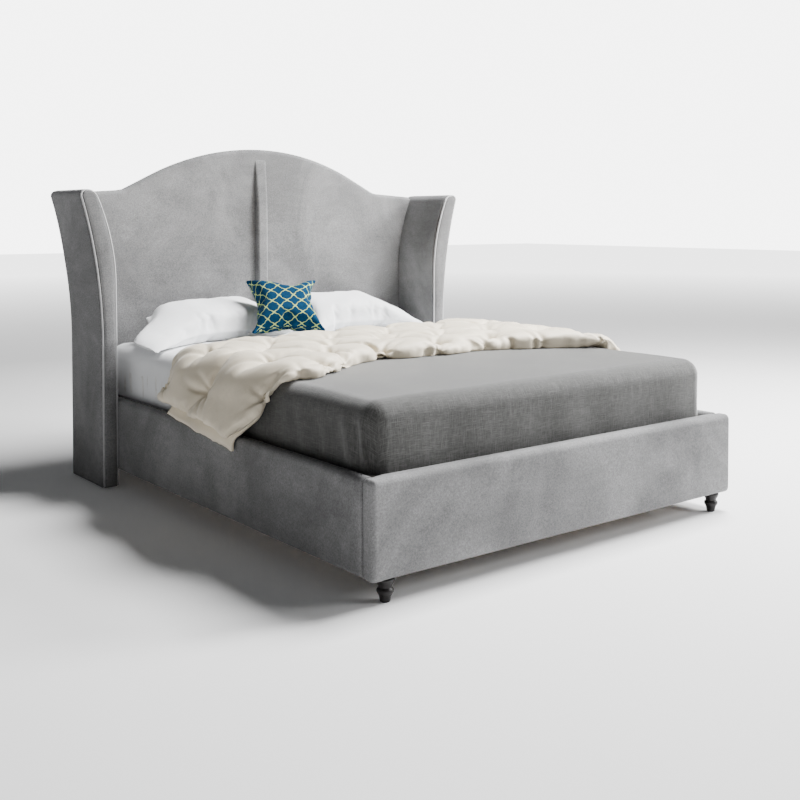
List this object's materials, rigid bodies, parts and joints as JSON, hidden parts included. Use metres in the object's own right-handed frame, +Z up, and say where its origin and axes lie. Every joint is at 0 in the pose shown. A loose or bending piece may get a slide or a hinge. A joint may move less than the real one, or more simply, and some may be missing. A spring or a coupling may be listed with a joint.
{
  "type": "upholstered sleigh bed",
  "caption": "Upholstered sleigh bed with a winged camel-back headboard, low padded rails, slatted base, mattress and bedding.",
  "frame": {"origin": "on the floor under the middle of the bed's bounding box", "axes": "+Z up, the foot end faces -Y, the headboard stands at +Y, +X is to the right for someone who looks from the foot to the head"},
  "size_m": [2.0256, 2.18, 1.472],
  "materials": {
    "grey_velvet": "mid grey plush upholstery velvet with soft nap patches",
    "light_piping": "lighter grey piping cord cover",
    "dust_cloth": "thin black non-woven cloth",
    "plywood": "bare plywood and board",
    "pine": "planed pine",
    "dark_wood": "dark stained and lacquered turned wood",
    "zinc_steel": "zinc plated",
    "grey_steel": "grey powder coat",
    "black_plastic": "moulded black plastic",
    "ticking": "woven mattress ticking",
    "white_cotton": "plain white bed linen",
    "charcoal_linen": "dark grey two-tone linen weave",
    "cream_sateen": "cream sateen, tufted and puckered",
    "blue_trellis": "deep blue cotton with a pale yellow-green trellis print"
  },
  "bodies": {
    "frame": {"headboard_panel": "plywood", "wing_left_core": "plywood", "wing_right_core": "plywood", "side_rail_left_board": "plywood", "side_rail_right_board": "plywood", "footboard_board": "plywood", "slat_ledge_left": "pine", "slat_ledge_right": "pine", "centre_rail": "pine", "slat_01": "pine", "slat_02": "pine", "slat_03": "pine", "slat_04": "pine", "slat_05": "pine", "slat_06": "pine", "slat_07": "pine", "slat_08": "pine", "slat_09": "pine", "slat_10": "pine", "slat_11": "pine", "slat_12": "pine", "headboard_front_pad": "grey_velvet", "headboard_rib": "grey_velvet", "wing_left_cover": "grey_velvet", "wing_right_cover": "grey_velvet", "wing_left_facing": "grey_velvet", "wing_right_facing": "grey_velvet", "side_rail_left_cover": "grey_velvet", "side_rail_right_cover": "grey_velvet", "footboard_cover": "grey_velvet", "wing_left_piping": "light_piping", "wing_right_piping": "light_piping", "headboard_back_cover": "dust_cloth", "corner_bracket_foot_left": "zinc_steel", "corner_bracket_foot_right": "zinc_steel", "corner_bracket_head_left": "zinc_steel", "corner_bracket_head_right": "zinc_steel", "corner_bolt_foot_left": "zinc_steel", "corner_bolt_foot_right": "zinc_steel", "corner_bolt_head_left": "zinc_steel", "corner_bolt_head_right": "zinc_steel", "foot_bolt_left": "zinc_steel", "foot_bolt_right": "zinc_steel", "wing_bolt_left_lower": "zinc_steel", "wing_bolt_left_upper": "zinc_steel", "wing_bolt_right_lower": "zinc_steel", "wing_bolt_right_upper": "zinc_steel", "centre_leg_foot_end": "grey_steel", "centre_leg_head_end": "grey_steel", "foot_left": "dark_wood", "foot_right": "dark_wood", "wing_left_glide": "black_plastic", "wing_right_glide": "black_plastic"},
    "mattress": {"mattress": "ticking", "fitted_sheet": "white_cotton"},
    "coverlet": {"coverlet": "charcoal_linen"},
    "comforter": {"comforter": "cream_sateen"},
    "pillows": {"pillow_left": "white_cotton", "pillow_right": "white_cotton"},
    "cushion": {"throw_cushion": "blue_trellis"}
  },
  "joints": [
    {"name": "mattress_lift", "type": "slide", "parent": "frame", "child": "mattress", "axis": [0, 0, 1], "range_m": [0, 0.4]},
    {"name": "coverlet_lift", "type": "slide", "parent": "mattress", "child": "coverlet", "axis": [0, 0, 1], "range_m": [0, 0.35]},
    {"name": "comforter_lift", "type": "slide", "parent": "coverlet", "child": "comforter", "axis": [0, 0, 1], "range_m": [0, 0.35]},
    {"name": "pillows_lift", "type": "slide", "parent": "mattress", "child": "pillows", "axis": [0, 0, 1], "range_m": [0, 0.35]},
    {"name": "cushion_lift", "type": "slide", "parent": "pillows", "child": "cushion", "axis": [0, 0, 1], "range_m": [0, 0.35]}
  ]
}
